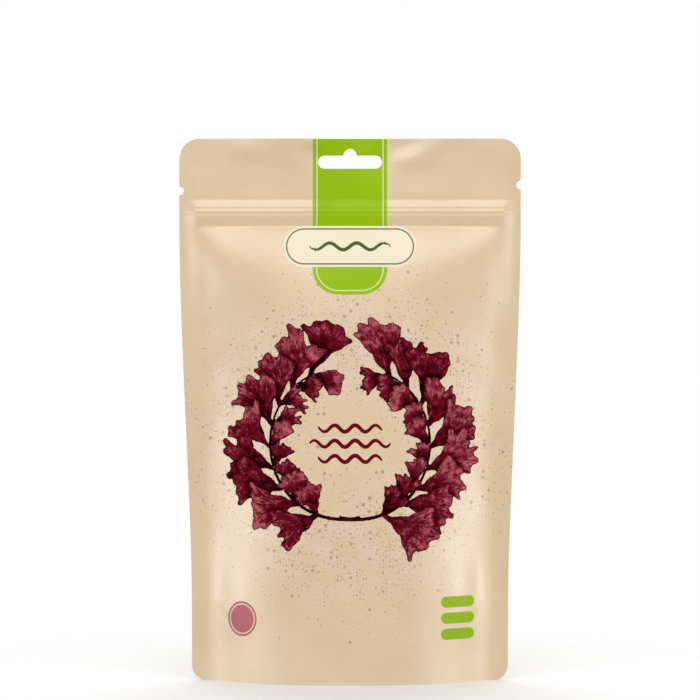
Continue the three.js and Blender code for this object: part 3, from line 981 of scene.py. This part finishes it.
zipperLook = {  # scales are per metre
    "pale": linear(236, 233, 222),
    "dull": linear(222, 219, 206),
    "cloudScale": 90,
    "lineScales": (20, 900, 900),
    "lineBump": 0.00003,
    "roughness": (0.34, 0.48),
    "shine": {"Specular IOR Level": 0.45, "Subsurface Weight": 0.2},
}
dulseLook = {  # and here too
    "dark": linear(62, 10, 24),
    "wine": linear(112, 24, 40),
    "worn": linear(146, 62, 66),
    "salt": linear(214, 190, 178),
    "cloudScale": 70,
    "grainScale": 900,
    "veinScales": (260, 260, 40),
    "wornRamp": (0.55, 0.75, 0.0, 0.5),
    "saltRamp": (0.66, 0.8, 0.0, 0.5),
    "grainHeight": 0.5,  # beside the veins
    "bump": 0.0002,
    "roughness": (0.42, 0.62),
    "shine": {"Specular IOR Level": 0.45},
}


def milkyPlastic(name):
    # Cloudy polyethylene with fine lines along the strip
    look = zipperLook
    material, shader, root = newMaterial(name, look["shine"])
    place = root.node("ShaderNodeTexCoord", None, None, "Object")
    clouds = root.noise(place, look["cloudScale"], detail=3)
    lines = root.noise(root.scaled(place, look["lineScales"]), 1.0, detail=2)
    colour = root.mix(clouds.ramp(*noiseCore), look["pale"], look["dull"])
    bump = root.node("ShaderNodeBump", None, {"Strength": 0.3, "Distance": look["lineBump"], "Height": lines})
    connect(shader, Base_Color=colour, Roughness=lines.ramp(*noiseSpan, *look["roughness"]), Normal=bump)
    return material


def driedDulse(name):
    # Dark wine blades with paler worn ridges, salt bloom and a leathery grain
    look = dulseLook
    material, shader, root = newMaterial(name, look["shine"])
    place = root.node("ShaderNodeTexCoord", None, None, "Object")
    clouds = root.noise(place, look["cloudScale"], detail=4)
    grain = root.noise(place, look["grainScale"], detail=3)
    veins = root.noise(root.scaled(place, look["veinScales"]), 1.0, detail=3)
    colour = root.mix(clouds.ramp(*noiseSpan), look["dark"], look["wine"])
    colour = root.mix(veins.ramp(*look["wornRamp"]), colour, look["worn"])
    colour = root.mix(grain.ramp(*look["saltRamp"]), colour, look["salt"])
    height = grain * look["grainHeight"] + veins
    bump = root.node("ShaderNodeBump", None, {"Strength": 0.6, "Distance": look["bump"], "Height": height})
    connect(shader, Base_Color=colour, Roughness=clouds.ramp(*noiseSpan, *look["roughness"]), Normal=bump)
    return material


# Panels

def filmPoints(flat):
    return np.column_stack([flat, np.zeros(len(flat))])


def panel(name, side, printer, material, fine):
    # The outer face is fine enough for the print, and the inner face is coarse and moved in by the film
    loops = panelLoops()
    half = pouch["width"] / 2
    low, high = (-half, 0), (half, pouch["height"])
    flat, triangles, rims = blank(loops, panelDistance, low, high, cut["pitch"], fine)
    innerFine = [(cut["innerZipPitch"], overZip)]
    innerFlat, innerTriangles = blank(loops, panelDistance, low, high, cut["innerPitch"], innerFine)[:2]
    outer = formFilm(flat, side)
    inner = formFilm(innerFlat, side)
    turned = 1 if side < 0 else -1
    inner = inner - turned * pouch["film"] * vertexNormals(inner, innerTriangles)
    points, faces = closeSheet(outer, triangles, inner, innerTriangles, rims)
    attributes = {"film": np.vstack([filmPoints(flat), filmPoints(innerFlat)])}
    for key, values in printer(flat).items():
        unprinted = np.full((len(innerFlat), *values.shape[1:]), printing["bare"])
        attributes[key] = np.concatenate([values, 0 * unprinted if key == "spatter" else unprinted])
    node = "front_panel" if side < 0 else "back_panel"
    return putPiece(name, points, faces[:, ::turned], material, [node], attributes)


def underWreath(s, h):
    # True in the circle that the wreath's outer fronds reach
    reach = wreath["radius"] + wreath["stemShift"] + wreath["outer"][0]
    return np.hypot(s - wreath["middle"][0], h - wreath["middle"][1]) < reach


def overZip(s, h):
    # True in the level strip round the zipper
    lift, half = cut["zipZone"]
    return np.abs(h - pouch["zipHeight"] - lift) < half


paperMaterial = printedKraft("printed_kraft")
zipFine = (cut["zipPitch"], overZip)
panel("front_film", -1, frontPrint, paperMaterial, [(cut["printPitch"], underWreath), zipFine])
panel("back_film", 1, backPrint, paperMaterial, [zipFine])

# Bottom gusset

gussetFilm = {"leafShare": 0.3, "pitch": 1.5, "lengthwise": 60.0}


def gussetForm(flat):
    # t runs from -1 at the front edge to 1 at the back: a leaf inside each panel up to the seal line, and
    # between the lines an arch that rises to its fold
    s, t = flat[:, 0], flat[:, 1] / gussetFilm["lengthwise"]
    line = gussetLine(s)
    leaf = np.clip((1 - np.abs(t)) / gussetFilm["leafShare"], 0, 1)
    h = leaf * line
    side = np.where(t < 0, -1, 1)
    place = placeOnChord(s, h)
    depth = layerOpening(s, h) - pouch["leafDrop"] + depthAt(h) * crossSection(place, h)
    share = np.clip(np.abs(t) / (1 - gussetFilm["leafShare"]), 0, 1)
    across = np.clip(np.abs(s) / lensArc, 0, 1)
    rise = pouch["film"] + (pouch["gussetArch"] - pouch["film"]) * (1 - across ** 2)
    z = h + rise * (1 - share ** pouch["foldPower"])
    return np.column_stack([acrossAt(s, h, place), side * depth * share, z])


def gusset():
    # A box with round corners, formed, and thickened by half the film to each side
    half, end = pouch["width"] / 2, gussetFilm["lengthwise"]
    corner = cut["bottomCorner"]

    def distance(s, t):
        return boxDistance(s, t, (0, 0), (half, end), corner)

    outline = np.vstack([
        arc((corner - half, corner - end), corner, 180, 270),
        arc((half - corner, corner - end), corner, 270, 360),
        arc((half - corner, end - corner), corner, 0, 90),
        arc((corner - half, end - corner), corner, 90, 180),
    ])
    loops = [evenLoop(outline, gussetFilm["pitch"])]
    flat, triangles, rims = blank(loops, distance, (-half, -end), (half, end), gussetFilm["pitch"])
    middle = gussetForm(flat)
    normals = vertexNormals(middle, triangles)
    upper = middle + 0.5 * pouch["film"] * normals
    lower = middle - 0.5 * pouch["film"] * normals
    points, faces = closeSheet(upper, triangles, lower, triangles, rims)
    attributes = {"film": np.vstack([filmPoints(flat), filmPoints(flat)])}
    material = bareKraft("bare_kraft")
    return putPiece("gusset_film", points, faces, material, ["bottom_gusset"], attributes)


gusset()

# Dulse fronds inside

fronds = {
    "count": 7,
    "spacing": 4.0,
    "foot": 24.0,
    "stipe": (4.0, 16.0),  # half width and length
    "spread": 1.05,  # radians to each side
    "lean": (0.12, 2.4),  # most, and its change from frond to frond
    "lobes": (4, 3),  # fewest, and how many numbers there are
    "lobePower": 0.7,
    "lobeShare": (0.42, 0.5),  # of the room: between the lobes, and what a lobe adds
    "uneven": (0.12, 5.1, 1.7),  # swing, its change along the arc, and from frond to frond
    "outlinePoints": 181,
    "lengths": (10, 160, 2.0),  # shortest, longest and step of those tried for room
    "roomShare": 0.92,
    "shortest": 8.0,
    "clearance": 2.2,
    "wave": 1.3,
    "waveLengths": (9, 15),  # across and up
    "waveShifts": (1.9, 0.8),  # from frond to frond
    "ruffle": 0.25,
    "ruffleReach": 4.0,  # in from the edge
    "ruffleLengths": (1.7, 2.1),
    "thickness": 0.5,
    "pitch": 2.4,
    "sharp": 60,  # degrees, above which an edge isn't smoothed
}


def frondOutline(number, y):
    # Lobes on an arc above a narrow stipe: the radius is the room inside the film times a power of a sine
    share = np.linspace(1, -1, fronds["outlinePoints"])
    fewest, numbers = fronds["lobes"]
    lobes = fewest + number % numbers
    lean, change = fronds["lean"]
    angle = fronds["spread"] * share + lean * math.sin(change * number) * (1 - share ** 2)
    lobe = np.abs(np.sin(math.pi * lobes * (share + 1) / 2)) ** fronds["lobePower"]
    swing, along, change = fronds["uneven"]
    uneven = 1 + swing * np.sin(along * share + change * number)
    top = fronds["foot"] + fronds["stipe"][1]
    lengths = np.arange(*fronds["lengths"])
    z = top + lengths * np.cos(angle)[:, None]
    taken = np.clip((abs(y) + fronds["clearance"]) / np.maximum(depthAt(z), 1), 0, 1)
    power, ease = lensPowers(z)
    left = 1 - taken ** (1 / ease)
    room = np.interp(z, tableHeights, tableChords) * left ** (1 / power)
    fits = np.cumprod(lengths * np.abs(np.sin(angle))[:, None] <= fronds["roomShare"] * room, 1).sum(1)
    reach = np.where(fits > 0, lengths[np.maximum(fits - 1, 0)], 0)
    least, more = fronds["lobeShare"]
    radius = np.maximum(reach * (least + more * lobe) * uneven, fronds["shortest"])
    lobed = np.column_stack([radius * np.sin(angle), top + radius * np.cos(angle)])
    half = fronds["stipe"][0]
    return np.vstack([[(-half, fronds["foot"]), (half, fronds["foot"])], lobed])


def outlineDistance(loop):
    # Distance to the nearest side of a closed loop, negative where a ray crosses it an odd number of times
    start, end = loop, np.roll(loop, -1, 0)

    def distance(x, z):
        points = np.column_stack([x, z])[:, None, :]
        side = (end - start)[None]
        along = ((points - start) * side).sum(2) / np.maximum((side ** 2).sum(2), 1e-9)
        nearest = start + np.clip(along, 0, 1)[:, :, None] * side
        away = np.linalg.norm(points - nearest, axis=2).min(1)
        above = (start[:, 1] > points[:, :, 1]) != (end[:, 1] > points[:, :, 1])
        rise = np.where(side[:, :, 1] == 0, 1e-9, side[:, :, 1])
        crossing = start[:, 0] + (points[:, :, 1] - start[:, 1]) * side[:, :, 0] / rise
        odd = (above & (points[:, :, 0] < crossing)).sum(1) % 2 == 1
        return np.where(odd, -away, away)

    return distance


def frond(number, material):
    # A blade waved by a product of a sine and a cosine, with finer ruffles towards its edge
    y = (number - (fronds["count"] - 1) / 2) * fronds["spacing"]
    loop = evenLoop(frondOutline(number, y), fronds["pitch"])
    distance = outlineDistance(loop)
    flat, triangles, rims = blank([loop], distance, loop.min(0), loop.max(0), fronds["pitch"])
    x, z = flat[:, 0], flat[:, 1]
    inside = np.concatenate([np.zeros(len(loop)), -distance(x[len(loop):], z[len(loop):])])
    (across, up), (shift, lift) = fronds["waveLengths"], fronds["waveShifts"]
    wave = fronds["wave"] * np.sin(x / across + shift * number) * np.cos(z / up + lift * number)
    across, up = fronds["ruffleLengths"]
    ruffle = fronds["ruffle"] * bell(inside, fronds["ruffleReach"])
    ruffle = ruffle * np.sin(x / across + number) * np.cos(z / up - number)
    middle = np.column_stack([x, y + wave + ruffle, z])
    half = np.array([0, fronds["thickness"] / 2, 0])
    points, faces = closeSheet(middle - half, triangles, middle + half, triangles, rims)
    name, node = f"dulse_blade_{number + 1}", f"dulse_frond_{number + 1}"
    return putPiece(name, points, faces, material, [node], sharp=fronds["sharp"])


dulseMaterial = driedDulse("dried_dulse")
for number in range(fronds["count"]):
    frond(number, dulseMaterial)

# Zipper strips keep their solids

plastic = milkyPlastic("milky_plastic")
for name in ("zipper_groove_strip", "zipper_rib_strip"):
    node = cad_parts[name]
    node.data.materials.clear()
    node.data.materials.append(plastic)
print("zipper strips finished")

# Stage

stage = {
    "floorRadius": 0.45,
    "floorPitch": 0.05,
    "floorFade": (0.02, 0.28),  # the floor passes into the white backdrop between these distances
    "floor": (0.88, 0.88, 0.875, 1),
    "floorDarker": (0.8712, 0.8712, 0.86625, 1),
    "floorScale": 3,
    "sky": 0.41,
    "cameraDistance": 1.6,
    "cameraElevation": 1.0,
    "aim": (0.0, 0.0, 0.155),
    "viewWidth": 0.3284,  # metres across the picture at the aim
    "sensor": 36,
    "lightAim": (0.0, 0.0, 0.12),
    "lights": (  # name, place, width and height, watts
        ("left", (-1.69, -0.52, 0.08), (0.6, 0.55), 5.5),
        ("right", (1.69, -0.52, 0.08), (0.6, 0.55), 6.0),
        ("frontLeft", (-1.39, -1.09, -0.12), (0.62, 0.7), 2.8),
        ("frontRight", (1.39, -1.09, -0.12), (0.62, 0.7), 2.8),
        ("top", (0.0, -2.3, 2.5), (4.3, 2.2), 73.0),
        ("back", (0.0, 2.3, 2.5), (4.3, 2.2), 75.0),
    ),
}


def floorMaterial():
    # A pale grey that fades out by its distance from the middle
    material, shader, root = newMaterial("pale_floor", {"Specular IOR Level": 0.1, "Roughness": 0.9})
    place = root.node("ShaderNodeTexCoord", None, None, "Object")
    clouds = root.noise(place, stage["floorScale"], detail=2).ramp(*noiseSpan)
    colour = root.mix(clouds, stage["floor"], stage["floorDarker"])
    away = root.node("ShaderNodeVectorMath", {"operation": "LENGTH"}, {0: place}, "Value")
    connect(shader, Base_Color=colour, Alpha=away.ramp(*stage["floorFade"], 1.0, 0.0))
    return material


def makeFloor():
    mesh = bpy.data.meshes.new("floor")
    edge = arc((0, 0), stage["floorRadius"], 0, 355, stage["floorPitch"])  # ends short of its first point
    mesh.from_pydata(np.column_stack([edge, np.zeros(len(edge))]).tolist(), [], [list(range(len(edge)))])
    mesh.materials.append(floorMaterial())
    floor = bpy.data.objects.new("floor", mesh)
    bpy.context.scene.collection.objects.link(floor)
    floor.visible_diffuse = False  # its bounce would lighten the foot of the pouch
    floor.visible_shadow = False  # the side lights reach below it


def makeLights():
    world = bpy.data.worlds.new("studio")
    bpy.context.scene.world = world
    world.use_nodes = True
    sky = Shade(world.node_tree)
    # The backdrop is white to the camera alone, and it lights the pouch by the sky's share
    seen = sky.node("ShaderNodeLightPath", None, None, "Is Camera Ray")
    background = world.node_tree.nodes["Background"]
    background.inputs["Color"].default_value = (1, 1, 1, 1)
    strength = seen * (1 - stage["sky"]) + stage["sky"]
    world.node_tree.links.new(strength.socket, background.inputs["Strength"])
    target = Vector(stage["lightAim"])
    for name, place, size, watts in stage["lights"]:
        lamp = bpy.data.lights.new(name, "AREA")
        lamp.shape = "RECTANGLE"
        lamp.size, lamp.size_y = size
        lamp.energy = watts
        light = bpy.data.objects.new(name, lamp)
        light.location = place
        light.rotation_euler = (target - Vector(place)).to_track_quat("-Z", "Y").to_euler()
        bpy.context.scene.collection.objects.link(light)


def makeCamera():
    # The focal length is the sensor's width times the distance over the view's width
    aim = Vector(stage["aim"])
    tilt = math.radians(stage["cameraElevation"])
    distance = stage["cameraDistance"]
    data = bpy.data.cameras.new("camera")
    data.sensor_width = stage["sensor"]
    data.lens = data.sensor_width * distance / stage["viewWidth"]
    camera = bpy.data.objects.new("camera", data)
    camera.location = aim + distance * Vector((0, -math.cos(tilt), math.sin(tilt)))
    camera.rotation_euler = (aim - camera.location).to_track_quat("-Z", "Y").to_euler()
    bpy.context.scene.collection.objects.link(camera)
    bpy.context.scene.camera = camera


makeFloor()
makeLights()
makeCamera()
bpy.context.scene.view_settings.view_transform = "Standard"
print("stage finished")
